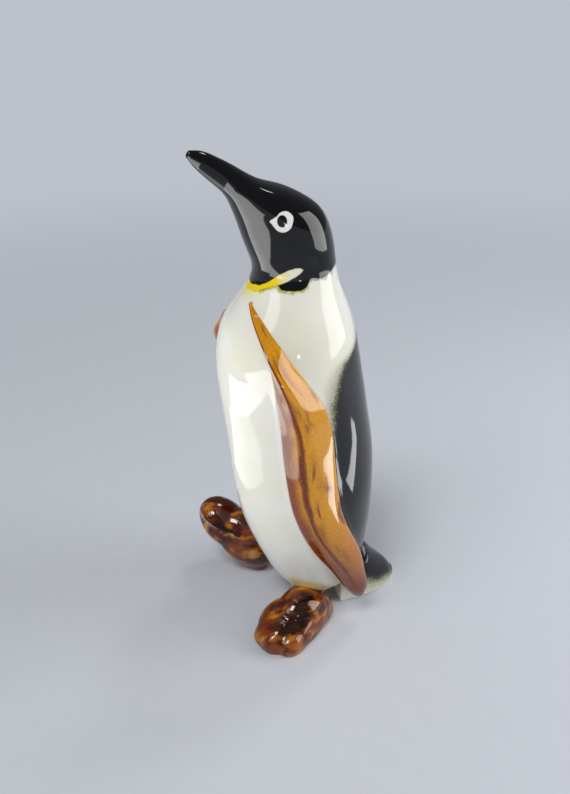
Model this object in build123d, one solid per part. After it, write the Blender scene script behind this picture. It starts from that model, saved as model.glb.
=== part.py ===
from build123d import *
import os
from math import cos, pi, radians, sin

# A small glazed ceramic penguin that stands on its left sole, its right heel and its tail.
# It is slip cast in seven pieces: a hollow torso, a hollow head with the beak, a tail,
# two flippers and two feet. Each piece has a peg that is luted with slip into the torso.
# Work frame: forward is the way the beak points, left is the bird's own left, up is up.
# The finished part faces -Y, its left is +X, and its origin is under the middle of its box.

# Sizes of the torso, in millimetres
TORSO_BASE = 3.9
TORSO_HEIGHT = 54.6
TORSO_DEPTH = 24.0
TORSO_WIDTH = 22.6
TORSO_WALL = 2.4
CAVITY_FLOOR = 5.0
VENT_RADIUS = 1.2

# Sizes of the head and beak
HEAD_HEIGHT = 16.8
HEAD_WIDTH = 11.4
HEAD_WALL = 2.4
BEAK_REACH = 14.4

# Sizes of the tail
TAIL_LENGTH = 11.2
TAIL_WIDTH = 8.6
TAIL_HEIGHT = 9.6

# Sizes of the flippers
FLIPPER_WIDTH = 7.4
FLIPPER_RELIEF = 2.6
RIGHT_FLIPPER_DROP = 1.8
RIGHT_FLIPPER_LIFT = 1.5

# Sizes of the feet
FOOT_LENGTH = 11.4
FOOT_WIDTH = 9.0
INSTEP_HEIGHT = 6.6
TOE_HEIGHT = 3.6
HEEL_LENGTH = 5.5
RIGHT_FOOT_RISE = 3.4
SHANK_RADIUS = 3.2

# Sizes of the luted joints: pegs, their depth into the torso, and the film of slip round them
SLIP = 0.3
NECK_PEG_RADIUS = 3.3
NECK_PEG_BORE = 1.8
NECK_THROAT_RADIUS = 2.6
NECK_PEG_DEPTH = 3.0
LIMB_PEG_RADIUS = 1.5
LIMB_PEG_DEPTH = 1.5
TAIL_PEG_RADIUS = 1.2
TAIL_PEG_DEPTH = 1.6

# Poses of the limbs, in degrees
LEFT_FOOT_SPLAY = 25.0
RIGHT_FOOT_SPLAY = 31.0
RIGHT_FOOT_PITCH = 44.0
RIGHT_FOOT_ROLL = 14.0
RIGHT_FLIPPER_SWING = 9.0
TOE_SPREAD = 18.0

# Torso outline: height, centre ahead of the reference line, depth and width,
# as shares of the torso's height, depth, depth and width
TORSO_SHARES = (
    (0.000, -0.229, 0.408, 0.400),
    (0.035, -0.229, 0.558, 0.570),
    (0.110, -0.202, 0.696, 0.725),
    (0.225, -0.156, 0.821, 0.880),
    (0.370, -0.127, 0.904, 0.970),
    (0.520, -0.098, 0.917, 0.985),
    (0.690, -0.040, 0.892, 0.960),
    (0.810, -0.015, 0.846, 0.900),
    (0.885, -0.019, 0.750, 0.800),
    (0.945, -0.044, 0.596, 0.630),
    (1.000, -0.058, 0.500, 0.508),
)

# Head outline: throat point and crown point, each forward and up from the middle of the neck,
# and width, as shares of the beak's reach, the head's height and the head's width
HEAD_SHARES = (
    ((0.422, 0.000), (-0.422, 0.000), 1.000),
    ((0.455, 0.165), (-0.380, 0.200), 1.000),
    ((0.510, 0.300), (-0.325, 0.370), 1.000),
    ((0.556, 0.425), (-0.220, 0.525), 0.960),
    ((0.597, 0.520), (-0.053, 0.630), 0.870),
    ((0.640, 0.607), (0.145, 0.705), 0.720),
    ((0.690, 0.673), (0.370, 0.768), 0.540),
    ((0.745, 0.720), (0.585, 0.875), 0.370),
    ((0.863, 0.810), (0.738, 0.946), 0.270),
    ((0.952, 0.888), (0.872, 0.992), 0.180),
    ((0.998, 0.942), (0.957, 0.999), 0.090),
)
HEAD_CAVITY_SECTIONS = 5

# Flipper outline from tip to shoulder: height, forward, left, chord and thickness,
# as shares of the torso's height, depth and width and of the flipper's width and relief,
# and then the way that the section faces, in degrees round from the front
FLIPPER_SHARES = (
    (0.025, -0.402, 0.370, 0.200, 0.30, 106),
    (0.045, -0.392, 0.374, 0.400, 0.50, 106),
    (0.100, -0.342, 0.396, 0.660, 0.65, 104),
    (0.190, -0.246, 0.436, 0.880, 0.80, 98),
    (0.300, -0.118, 0.472, 0.990, 0.95, 90),
    (0.400, -0.040, 0.486, 0.980, 1.00, 82),
    (0.500, 0.000, 0.490, 0.980, 1.00, 80),
    (0.620, 0.030, 0.486, 0.980, 1.00, 80),
    (0.720, 0.072, 0.458, 0.790, 1.05, 76),
    (0.805, 0.152, 0.412, 0.460, 1.15, 66),
    (0.853, 0.198, 0.356, 0.310, 0.46, 57),
    (0.881, 0.220, 0.300, 0.250, 0.22, 48),
    (0.914, 0.240, 0.208, 0.190, 0.22, 37),
    (0.940, 0.243, 0.110, 0.070, 0.12, 25),
)
FLIPPER_PEG_FORWARD_SHARE = 0.02
TORSO_MIDDLE_SHARE = -0.06
FLIPPER_PEG_HEIGHT_SHARE = 0.66

# Tail outline from root to tip: behind the root, width, and top, as shares of the tail's sizes
TAIL_SHARES = (
    (0.00, 0.98, 0.62),
    (0.20, 1.00, 0.90),
    (0.42, 0.98, 1.00),
    (0.60, 0.90, 0.76),
    (0.80, 0.72, 0.50),
    (0.93, 0.50, 0.33),
    (1.00, 0.26, 0.20),
)
TAIL_ROOT_SHARE = -0.355
TAIL_PEG_HEIGHT_SHARE = 0.62

# Places of the ankles, as shares of the torso's depth and width
LEFT_ANKLE_SHARES = (-0.065, 0.270)
RIGHT_ANKLE_SHARES = (0.150, 0.495)

# Foot masses: centre forward of the ankle and up, then half length, half width and half height,
# as shares of the foot's length, the instep's height, and the foot's length, width and the height
INSTEP_SHARES = (0.16, 0.34, 0.58, 0.45, 0.72)
WEB_SHARES = (0.50, 0.16, 0.44, 0.46, 0.34)
TOE_SHARES = (0.56, 0.40, 0.46, 0.225, 0.66)
HEEL_WIDTH_SHARE = 0.33
HEEL_HEIGHT_SHARE = 0.62

SECTION_POINTS = 16
SECTION_START_SHARE = 0.125
OVERRUN = 2.0
FINENESS = 0.02


def place(forward, left, up):
    """A point of the work frame in the part's own axes."""
    return Vector(left, -forward, up)


def section(centre, across, along, half_across, half_along):
    """A closed oval face round a centre, in the plane of two unit directions."""
    angles = [2 * pi * (k / SECTION_POINTS + SECTION_START_SHARE) for k in range(SECTION_POINTS)]
    points = [centre + across * (half_across * cos(a)) + along * (half_along * sin(a)) for a in angles]
    return make_face(Spline(*points, periodic=True))


def torso_level(share):
    """The height of a share of the torso."""
    return TORSO_BASE + TORSO_HEIGHT * share


def torso_section(row, inset=0.0, height=None):
    """One level oval of the torso, drawn in by an inset for its cavity."""
    up_share, centre_share, depth_share, width_share = row
    up = torso_level(up_share) if height is None else height
    centre = place(TORSO_DEPTH * centre_share, 0, up)
    half_width = TORSO_WIDTH * width_share / 2 - inset
    half_depth = TORSO_DEPTH * depth_share / 2 - inset
    return section(centre, place(0, 1, 0), place(1, 0, 0), half_width, half_depth)


def torso_outside():
    return loft([torso_section(row) for row in TORSO_SHARES])


def neck_centre():
    """The middle of the joint between the torso and the head."""
    return place(TORSO_DEPTH * TORSO_SHARES[-1][1], 0, torso_level(1))


def torso_cavity():
    """The hollow that is left when the spare slip is poured out through the neck."""
    floor = TORSO_BASE + CAVITY_FLOOR
    roof = torso_level(1) - NECK_PEG_DEPTH
    rows = [row for row in TORSO_SHARES if floor < torso_level(row[0]) < roof]
    ovals = [torso_section(rows[0], TORSO_WALL, floor)]
    ovals += [torso_section(row, TORSO_WALL) for row in rows[1:]]
    ovals.append(section(neck_centre() - place(0, 0, NECK_PEG_DEPTH), place(0, 1, 0), place(1, 0, 0),
                         NECK_THROAT_RADIUS, NECK_THROAT_RADIUS))
    return loft(ovals) + peg(neck_centre(), place(0, 0, -1), NECK_PEG_RADIUS + SLIP, NECK_PEG_DEPTH)


def vent():
    """The small hole under the torso that lets air out in the kiln."""
    start = place(TORSO_DEPTH * TORSO_SHARES[0][1], 0, TORSO_BASE - OVERRUN)
    return peg(start, place(0, 0, 1), VENT_RADIUS, CAVITY_FLOOR + 2 * OVERRUN)


def peg(start, direction, radius, length):
    """A round bar from a point along a direction."""
    return extrude(Plane(start, z_dir=direction) * Circle(radius), length)


def head_section(row, inset=0.0):
    """One oval of the head, between a throat point and a crown point."""
    throat, crown, width_share = row
    ends = [neck_centre() + place(BEAK_REACH * forward, 0, HEAD_HEIGHT * up) for forward, up in (throat, crown)]
    axis = ends[0] - ends[1]
    half_width = HEAD_WIDTH * width_share / 2 - inset
    return section((ends[0] + ends[1]) / 2, place(0, 1, 0), axis.normalized(), half_width, axis.length / 2 - inset)


def head():
    """The head and beak, hollow as far as the brow, with an open peg for the neck."""
    outside = loft([head_section(row) for row in HEAD_SHARES])
    cavity = loft([head_section(row, HEAD_WALL) for row in HEAD_SHARES[:HEAD_CAVITY_SECTIONS]])
    down = place(0, 0, -1)
    neck_peg = peg(neck_centre(), down, NECK_PEG_RADIUS, NECK_PEG_DEPTH)
    bore = peg(neck_centre() - down * OVERRUN, down, NECK_PEG_BORE, NECK_PEG_DEPTH + 2 * OVERRUN)
    return outside - cavity + neck_peg - bore


def neck_slip():
    """The ring of slip between the neck peg and the torso."""
    down = place(0, 0, -1)
    outer = peg(neck_centre(), down, NECK_PEG_RADIUS + SLIP, NECK_PEG_DEPTH)
    return outer - peg(neck_centre(), down, NECK_PEG_RADIUS, NECK_PEG_DEPTH)


def flipper_pose(side):
    """Where a flipper goes from its even place: the right one is swung forward, lower and lifted out."""
    if side > 0:
        return Pos(0, 0, 0)
    middle = place(TORSO_DEPTH * TORSO_MIDDLE_SHARE, 0, 0)
    shift = place(0, -RIGHT_FLIPPER_LIFT, -RIGHT_FLIPPER_DROP)
    return Pos(*middle) * Rot(0, 0, RIGHT_FLIPPER_SWING) * Pos(*(shift - middle))


def flipper_blank(side):
    """A leaf-shaped flipper before it is pressed on to the torso: side is 1 for left, -1 for right."""
    ovals = []
    for up_share, forward_share, left_share, chord_share, thickness_share, facing in FLIPPER_SHARES:
        turn = radians(facing)
        outward = place(cos(turn), side * sin(turn), 0)
        along = place(-sin(turn), side * cos(turn), 0)
        centre = place(TORSO_DEPTH * forward_share, side * TORSO_WIDTH * left_share, torso_level(up_share))
        ovals.append(section(centre, along, outward, FLIPPER_WIDTH * chord_share / 2,
                             FLIPPER_RELIEF * thickness_share))
    return flipper_pose(side) * loft(ovals)


def flipper_peg_axis(side):
    """A point outside the torso on the flipper's peg, and the way in."""
    forward = TORSO_DEPTH * FLIPPER_PEG_FORWARD_SHARE
    start = place(forward, side * TORSO_WIDTH / 2, torso_level(FLIPPER_PEG_HEIGHT_SHARE))
    outer = (flipper_pose(side) * Pos(*start)).position
    inner = (flipper_pose(side) * Pos(*(start - place(0, side * TORSO_WIDTH, 0)))).position
    return outer, (inner - outer).normalized()


def ellipsoid(centre, half_sizes, turn=0.0):
    """A solid ellipsoid, turned about its own upright, with half sizes forward, left and up."""
    forward, left, up = half_sizes
    return Pos(*centre) * Rot(0, 0, turn) * scale(Sphere(1), by=(left, forward, up))


def foot_blank():
    """A webbed left foot that points forward from an ankle above the work frame's origin."""
    forward_share, up_share, length_share, width_share, height_share = INSTEP_SHARES
    mass = ellipsoid(place(FOOT_LENGTH * forward_share, 0, INSTEP_HEIGHT * up_share),
                     (FOOT_LENGTH * length_share, FOOT_WIDTH * width_share, INSTEP_HEIGHT * height_share))
    forward_share, up_share, length_share, width_share, height_share = WEB_SHARES
    mass += ellipsoid(place(FOOT_LENGTH * forward_share, 0, TOE_HEIGHT * up_share),
                      (FOOT_LENGTH * length_share, FOOT_WIDTH * width_share, TOE_HEIGHT * height_share))
    forward_share, up_share, length_share, width_share, height_share = TOE_SHARES
    for spread in (-TOE_SPREAD, 0, TOE_SPREAD):
        reach = FOOT_LENGTH * forward_share
        centre = place(reach * cos(radians(spread)), -reach * sin(radians(spread)), TOE_HEIGHT * up_share)
        mass += ellipsoid(centre, (FOOT_LENGTH * length_share, FOOT_WIDTH * width_share,
                                   TOE_HEIGHT * height_share), spread)
    heel_half = (HEEL_LENGTH, FOOT_WIDTH * HEEL_WIDTH_SHARE, INSTEP_HEIGHT * HEEL_HEIGHT_SHARE)
    return mass + ellipsoid(place(0, 0, 0), heel_half)


def ankle(side):
    """The place of an ankle on the ground: side is 1 for left, -1 for right."""
    forward_share, left_share = LEFT_ANKLE_SHARES if side > 0 else RIGHT_ANKLE_SHARES
    return place(TORSO_DEPTH * forward_share, side * TORSO_WIDTH * left_share, 0)


def posed_foot(side):
    """A foot with a flat sole at its ankle, splayed and lifted, and cut flat where it stands."""
    splay, pitch, roll, rise = LEFT_FOOT_SPLAY, 0, 0, 0
    if side < 0:
        splay, pitch, roll, rise = -RIGHT_FOOT_SPLAY, RIGHT_FOOT_PITCH, RIGHT_FOOT_ROLL, RIGHT_FOOT_RISE
    soled = foot_blank() & above_ground()
    turned = Rot(0, 0, splay) * Rot(-pitch, 0, 0) * Rot(0, roll, 0) * soled
    foot = Pos(*(ankle(side) + place(0, 0, rise))) * turned
    return foot - below_ground() + peg(*foot_peg_axis(side), SHANK_RADIUS, TORSO_WIDTH / 3)


def above_ground():
    """All of the room above the ground that the figurine stands on."""
    room = TORSO_HEIGHT + TORSO_DEPTH
    return Box(2 * room, 2 * room, room, align=(Align.CENTER, Align.CENTER, Align.MIN))


def below_ground():
    """The room under the ground, to cut a lifted foot flat where its heel stands."""
    return mirror(above_ground(), about=Plane.XY)


def foot_peg_axis(side):
    """A point in the instep on the foot's peg, and the way from it into the torso."""
    rise = 0 if side > 0 else RIGHT_FOOT_RISE
    start = ankle(side) + place(0, 0, rise + INSTEP_HEIGHT / 3)
    aim = place(TORSO_DEPTH * TORSO_SHARES[0][1], 0, TORSO_BASE + CAVITY_FLOOR)
    return start, (aim - start).normalized()


def tail_blank():
    """A wedge of a tail that lies on the ground behind the torso."""
    ovals = []
    for behind_share, width_share, top_share in TAIL_SHARES:
        top = TAIL_HEIGHT * top_share
        centre = place(TORSO_DEPTH * TAIL_ROOT_SHARE - TAIL_LENGTH * behind_share, 0, 0)
        ovals.append(section(centre, place(0, 1, 0), place(0, 0, 1), TAIL_WIDTH * width_share / 2, top))
    return loft(ovals) & above_ground()


def tail_peg_axis():
    """A point inside the tail on its peg, and the way forward into the torso."""
    return place(TORSO_DEPTH * TAIL_ROOT_SHARE - TAIL_LENGTH / 2, 0, TAIL_HEIGHT * TAIL_PEG_HEIGHT_SHARE), place(1, 0, 0)


def luted(blank, outside, start, direction, radius, depth):
    """Presses a blank on to the torso. Returns the piece with its peg, the pocket, and the slip."""
    bar = peg(start, direction, radius, TORSO_WIDTH)
    sunk = Plane(start, z_dir=direction).to_local_coords(largest(bar & outside))
    reach = sunk.bounding_box().min.Z + depth
    pin = peg(start, direction, radius, reach)
    pocket = peg(start, direction, radius + SLIP, reach + SLIP)
    piece = largest(blank - outside) + pin
    return piece, pocket, largest((pocket & outside) - pin)


def largest(shape):
    """The largest solid of a shape."""
    return max(shape.solids(), key=lambda solid: solid.volume)


def build():
    """Every piece of the figurine, in the work frame."""
    outside = torso_outside()
    shell = outside - torso_cavity() - vent()
    pieces = {"head": head(), "neck_slip": neck_slip()}
    joints = {
        "left_flipper": (flipper_blank(1), *flipper_peg_axis(1), LIMB_PEG_RADIUS, LIMB_PEG_DEPTH),
        "right_flipper": (flipper_blank(-1), *flipper_peg_axis(-1), LIMB_PEG_RADIUS, LIMB_PEG_DEPTH),
        "left_foot": (posed_foot(1), *foot_peg_axis(1), LIMB_PEG_RADIUS, LIMB_PEG_DEPTH),
        "right_foot": (posed_foot(-1), *foot_peg_axis(-1), LIMB_PEG_RADIUS, LIMB_PEG_DEPTH),
        "tail": (tail_blank(), *tail_peg_axis(), TAIL_PEG_RADIUS, TAIL_PEG_DEPTH),
    }
    for name, (blank, start, direction, radius, depth) in joints.items():
        piece, pocket, slip = luted(blank, outside, start, direction, radius, depth)
        shell -= pocket
        pieces[name] = piece
        pieces[name + "_slip"] = slip
    pieces["torso"] = shell
    return pieces


def middle(values):
    """Half way between the least and the greatest of some values."""
    return (min(values) + max(values)) / 2


def main():
    pieces = build()
    points = [point for piece in pieces.values() for point in piece.tessellate(FINENESS)[0]]
    to_origin = Pos(-middle([p.X for p in points]), -middle([p.Y for p in points]), 0)
    os.makedirs("parts", exist_ok=True)
    for name, piece in pieces.items():
        export_step(to_origin * piece, os.path.join("parts", name + ".step"))
    print("work frame origin at", *to_origin.position)


main()
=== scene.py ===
# %% [markdown]
# # A glazed ceramic penguin
#
# The figurine is about 75 mm tall. It was slip cast in a few pieces, luted together with wet clay,
# painted by hand and dipped in clear glaze. The solids of the pieces come first: everything made
# below sits on them, in the same frame and in metres.

# %% Load the solids
import bpy
import bmesh
import math
import numpy as np
from mathutils import Matrix, Vector, noise
from mathutils.bvhtree import BVHTree


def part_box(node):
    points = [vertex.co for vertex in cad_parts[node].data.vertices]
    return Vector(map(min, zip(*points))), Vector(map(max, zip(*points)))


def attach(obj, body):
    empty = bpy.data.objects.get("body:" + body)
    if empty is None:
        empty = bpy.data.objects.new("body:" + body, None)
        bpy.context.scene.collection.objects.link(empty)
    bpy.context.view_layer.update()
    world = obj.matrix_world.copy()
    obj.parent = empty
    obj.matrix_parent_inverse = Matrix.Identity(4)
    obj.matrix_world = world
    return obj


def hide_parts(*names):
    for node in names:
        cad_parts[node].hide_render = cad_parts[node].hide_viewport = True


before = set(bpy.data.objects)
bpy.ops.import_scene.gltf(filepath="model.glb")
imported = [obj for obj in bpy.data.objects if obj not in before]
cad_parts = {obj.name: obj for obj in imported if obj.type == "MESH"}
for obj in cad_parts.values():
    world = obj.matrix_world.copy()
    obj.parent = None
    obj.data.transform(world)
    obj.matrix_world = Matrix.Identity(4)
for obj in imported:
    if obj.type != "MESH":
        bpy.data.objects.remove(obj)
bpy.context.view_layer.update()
print("solids:", sorted(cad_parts))

# %% [markdown]
# ## A frame for modelling
#
# A modeller thinks of a bird as forward, left and up, in millimetres. The row frame has the bird
# facing -Y with its left at +X. The head is even on both sides, so its box gives the middle
# across. The tip of the tail gives the place along.

# %% From forward, left, up to the row frame
MM = 0.001
TORSO_BASE, TORSO_HEIGHT, TORSO_DEPTH, TORSO_WIDTH = 3.9, 54.6, 24.0, 22.6
TAIL_ROOT, TAIL_LENGTH = -8.52, 11.2

head_low, head_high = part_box("head")
middle_x = (head_low.x + head_high.x) / 2
middle_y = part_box("tail")[1].y + (TAIL_ROOT - TAIL_LENGTH) * MM


def at(forward, left, up):
    """A point given in millimetres forward, left and up of the bird, in the row frame."""
    return np.array((middle_x + left * MM, middle_y - forward * MM, up * MM))


def along(forward, left, up):
    """A direction given forward, left and up, in the row frame."""
    return np.array((left, -forward, up), float)


print("the bird's own axis stands at x, y =", round(1000 * middle_x, 3), round(1000 * middle_y, 3), "mm")

# %% [markdown]
# ## Lofting
#
# A thrower feels a form as a stack of ovals. A loft does the same: a few ovals are placed, and a
# smooth curve is drawn through the matching points of all of them. A natural cubic spline
# bends evenly, which matters here, because glaze mirrors the studio and would show any kink.

# %% Ovals
AROUND = 192  # points in a ring
TURN = np.linspace(0, 2 * np.pi, AROUND, endpoint=False)[:, None]


def oval(centre, across, upward, half_across, half_upward):
    """One oval ring round a centre, with half sizes in millimetres."""
    return centre + MM * (half_across * np.cos(TURN) * across + half_upward * np.sin(TURN) * upward)


sample = [oval(at(0, 0, height), along(0, 1, 0), along(1, 0, 0), 5, 5) for height in (0, 2, 4)]
print("a ring has", len(sample[0]), "points")

# %% [markdown]
# Between two ovals the curve is a cubic. One small system of equations gives the bend at every
# oval, so that slope and bend agree where two stretches meet.

# %% Smooth rows between ovals
def smooth_rows(rows, step):
    """Rings about a step apart, in millimetres, on a natural cubic spline through the given rings."""
    rows = np.array(rows)
    gaps = np.linalg.norm(np.diff(rows, axis=0), axis=2).mean(1)
    count = len(rows)
    system, slopes = np.eye(count), np.zeros(rows.shape)
    for i in range(1, count - 1):
        system[i, i - 1:i + 2] = gaps[i - 1], 2 * (gaps[i - 1] + gaps[i]), gaps[i]
        slopes[i] = 6 * ((rows[i + 1] - rows[i]) / gaps[i] - (rows[i] - rows[i - 1]) / gaps[i - 1])
    bend = np.linalg.solve(system, slopes.reshape(count, -1)).reshape(rows.shape)
    made, marks = [], []
    for i in range(count - 1):
        marks.append(len(made))
        pieces = max(2, math.ceil(gaps[i] / (step * MM)))
        for k in range(pieces):
            a = gaps[i] * k / pieces
            b = gaps[i] - a
            made.append((bend[i] * b ** 3 + bend[i + 1] * a ** 3) / (6 * gaps[i])
                        + (rows[i] / gaps[i] - bend[i] * gaps[i] / 6) * b
                        + (rows[i + 1] / gaps[i] - bend[i + 1] * gaps[i] / 6) * a)
    marks.append(len(made))
    made.append(rows[-1])
    return np.array(made), marks


print("three ovals 2 mm apart give", len(smooth_rows(sample, 0.5)[0]), "rings at 0.5 mm")

# %% [markdown]
# A stack of rings becomes a skin of four-sided faces. Where an end shows, its last ring is drawn in
# over a small dome. A search tree over some skins finds what lies near a point.

# %% Domes, skins and search trees
DOME_STEPS = (0.35, 0.7, 1.0, 1.25, 1.45)  # how far up the dome each ring is, in radians


def domed(ring, bulge):
    """Rings that close an end: the ring draws in to a point that stands out by a bulge."""
    centre = ring.mean(0)
    return [centre + (ring - centre) * math.cos(t) + bulge * math.sin(t) for t in DOME_STEPS]


def skin(name, rings):
    """A closed mesh over a stack of rings, with a point at each end."""
    rings = np.array(rings)
    count, around = rings.shape[:2]
    points = np.concatenate([rings.reshape(-1, 3), [rings[0].mean(0), rings[-1].mean(0)]])
    faces = []
    for i in range(count - 1):
        for k in range(around):
            n = (k + 1) % around
            faces.append((i * around + k, i * around + n, (i + 1) * around + n, (i + 1) * around + k))
    for k in range(around):
        n = (k + 1) % around
        faces.append((count * around, n, k))
        faces.append((count * around + 1, (count - 1) * around + k, (count - 1) * around + n))
    mesh = bpy.data.meshes.new(name)
    mesh.from_pydata([tuple(p) for p in points], [], faces)
    return finished(mesh)


def finished(mesh):
    """Faces turned outward and shaded smooth."""
    form = bmesh.new()
    form.from_mesh(mesh)
    bmesh.ops.recalc_face_normals(form, faces=form.faces)
    form.to_mesh(mesh)
    form.free()
    mesh.shade_smooth()
    return mesh


def tree_of(*meshes):
    """A search tree over the faces of some meshes."""
    points, faces = [], []
    for mesh in meshes:
        start = len(points)
        points += [v.co.copy() for v in mesh.vertices]
        faces += [[start + i for i in p.vertices] for p in mesh.polygons]
    return BVHTree.FromPolygons(points, faces)


print("a dome has", len(domed(sample[0], along(0, 0, 1) * MM)), "rings")

# %% [markdown]
# ## Torso and head
#
# The torso leans back a little and swells at the belly. The head turns the stack of ovals forward
# into the raised beak. Both are drawn as one run of rings, so the line from belly to beak is
# unbroken, and are parted at the neck seam.

# %% The run of rings from the base to the tip of the beak
HEAD_HEIGHT, HEAD_WIDTH, BEAK_REACH = 16.8, 11.4, 14.4
TORSO_ROWS = (  # height, centre, depth and width, as shares of the torso
    (0.000, -0.229, 0.408, 0.400), (0.035, -0.229, 0.558, 0.570), (0.110, -0.202, 0.696, 0.725),
    (0.225, -0.156, 0.821, 0.880), (0.370, -0.127, 0.904, 0.970), (0.520, -0.098, 0.917, 0.985),
    (0.690, -0.040, 0.892, 0.960), (0.810, -0.015, 0.846, 0.900), (0.885, -0.019, 0.750, 0.800),
    (0.945, -0.044, 0.596, 0.630), (1.000, -0.058, 0.500, 0.508))
HEAD_ROWS = (  # throat forward and up, crown forward and up, and width, as shares of the head
    (0.455, 0.165, -0.380, 0.200, 1.00), (0.510, 0.300, -0.325, 0.370, 1.00),
    (0.556, 0.425, -0.220, 0.525, 0.96), (0.597, 0.520, -0.053, 0.630, 0.87),
    (0.640, 0.607, 0.145, 0.705, 0.72), (0.690, 0.673, 0.370, 0.768, 0.54),
    (0.745, 0.720, 0.585, 0.875, 0.37), (0.863, 0.810, 0.738, 0.946, 0.27),
    (0.952, 0.888, 0.872, 0.992, 0.18), (0.998, 0.942, 0.957, 0.999, 0.09))
NECK_FORWARD, NECK_UP = TORSO_DEPTH * TORSO_ROWS[-1][1], TORSO_BASE + TORSO_HEIGHT
BODY_STEP = 0.22  # between rings, in millimetres

rows = []
for up, centre, depth, width in TORSO_ROWS:
    rows.append(oval(at(TORSO_DEPTH * centre, 0, TORSO_BASE + TORSO_HEIGHT * up), along(0, 1, 0),
                     along(1, 0, 0), TORSO_WIDTH * width / 2, TORSO_DEPTH * depth / 2))
for throat_f, throat_u, crown_f, crown_u, width in HEAD_ROWS:
    throat = at(NECK_FORWARD + BEAK_REACH * throat_f, 0, NECK_UP + HEAD_HEIGHT * throat_u)
    crown = at(NECK_FORWARD + BEAK_REACH * crown_f, 0, NECK_UP + HEAD_HEIGHT * crown_u)
    reach = np.linalg.norm(throat - crown)
    rows.append(oval((throat + crown) / 2, along(0, 1, 0), (throat - crown) / reach,
                     HEAD_WIDTH * width / 2, reach / MM / 2))
body_rings, body_marks = smooth_rows(rows, BODY_STEP)
neck_mark = body_marks[len(TORSO_ROWS) - 1]
print("rings from base to beak:", len(body_rings), "with the neck seam at ring", neck_mark)

# %% [markdown]
# ## Tail
#
# The tail is a blunt wedge. It lies flat on the shelf and carries part of the weight, so its lower
# half is cut off level. Its ovals become arches that stand on the ground.

# %% The tail's arches
TAIL_WIDTH, TAIL_HEIGHT, TAIL_BULGE = 8.6, 9.6, 0.5
LIMB_STEP = 0.25  # between rings, in millimetres
TAIL_ROWS = (  # how far back, width and height, as shares of the tail
    (0.00, 0.98, 0.62), (0.20, 1.00, 0.90), (0.42, 0.98, 1.00), (0.60, 0.90, 0.76),
    (0.80, 0.72, 0.50), (0.93, 0.50, 0.33), (1.00, 0.26, 0.20))


def grounded(rings):
    """Rings with nothing below the ground."""
    rings[..., 2] = np.maximum(rings[..., 2], 0)
    return rings


rows = [grounded(oval(at(TAIL_ROOT - TAIL_LENGTH * behind, 0, 0), along(0, 1, 0), along(0, 0, 1),
                      TAIL_WIDTH * width / 2, TAIL_HEIGHT * top)) for behind, width, top in TAIL_ROWS]
tail_rings = grounded(smooth_rows(rows, LIMB_STEP)[0])
tail_end = domed(tail_rings[-1], along(-TAIL_BULGE, 0, 0) * MM)
tail_rings = grounded(np.concatenate([tail_rings, tail_end]))
print("tail rings:", len(tail_rings))

# %% [markdown]
# ## Flippers
#
# Each flipper is a leaf pressed on to the side of the torso: thick at its front edge, thin to the
# shoulder, and free at the tip. Its ovals stand on the torso's own surface, and the half that is
# inside the torso is never seen.

# %% The flippers' leaves
FLIPPER_WIDTH, FLIPPER_RELIEF = 7.4, 2.6
FRONT_WALL, FACE_HEIGHT, FACE_SLOPE, REAR_SLOPE = 0.48, 0.98, 0.20, 1.05
PLANE_BLEND = 14  # the larger, the crisper the bevels
BEVEL_RISE, BEVEL_SHARE = (0.22, 0.58), (0, 0.9)  # heights between which the bevels come in, how far
FLIPPER_ROWS = (  # height, forward, left, chord and thickness as shares; the way it faces in degrees
    (0.025, -0.402, 0.370, 0.320, 0.38, 106), (0.045, -0.392, 0.374, 0.480, 0.52, 106),
    (0.100, -0.342, 0.396, 0.660, 0.65, 104), (0.190, -0.246, 0.436, 0.880, 0.80, 98),
    (0.300, -0.118, 0.472, 0.990, 0.95, 90), (0.400, -0.040, 0.486, 0.980, 1.00, 82),
    (0.500, 0.000, 0.490, 0.980, 1.00, 80), (0.620, 0.030, 0.486, 0.980, 1.00, 80),
    (0.720, 0.072, 0.458, 0.800, 1.00, 76), (0.805, 0.148, 0.413, 0.490, 1.05, 66),
    (0.853, 0.189, 0.361, 0.360, 0.75, 57), (0.881, 0.212, 0.306, 0.330, 0.48, 48),
    (0.914, 0.235, 0.214, 0.260, 0.28, 37), (0.940, 0.243, 0.110, 0.080, 0.12, 25))


def leaf(centre, across, outward, half_across, half_outward, bevel):
    """An oval whose outer half is partly planed: a steep front wall, a long face and a rear slope."""
    x, y = np.cos(TURN), np.sin(TURN)
    planes = np.stack([(1 + x) / FRONT_WALL, FACE_HEIGHT - FACE_SLOPE * x, (1 - x) * REAR_SLOPE])
    planed = -np.log(np.exp(-PLANE_BLEND * planes).sum(0)) / PLANE_BLEND
    planed = np.where(y > 0, np.clip(planed, 0, None), y)
    rise = y + bevel * (planed - y)
    return centre + MM * (half_across * x * across + half_outward * rise * outward)


def flipper_row(side, up, forward, left, chord, thick, facing):
    """One leaf in its place: side is 1 for left and -1 for right."""
    turn = math.radians(facing)
    centre = at(TORSO_DEPTH * forward, side * TORSO_WIDTH * left, TORSO_BASE + TORSO_HEIGHT * up)
    across = along(-math.sin(turn), side * math.cos(turn), 0)
    outward = along(math.cos(turn), side * math.sin(turn), 0)
    bevel = np.interp(up, BEVEL_RISE, BEVEL_SHARE)
    return leaf(centre, across, outward, FLIPPER_WIDTH * chord / 2, FLIPPER_RELIEF * thick, bevel)


print("leaves in a flipper:", len(FLIPPER_ROWS))

# %% [markdown]
# The leaves are joined from tip to shoulder, and both ends are closed. The right flipper is smaller
# at the shoulder. It is swung forward, stands further out and sits a little lower.

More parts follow.
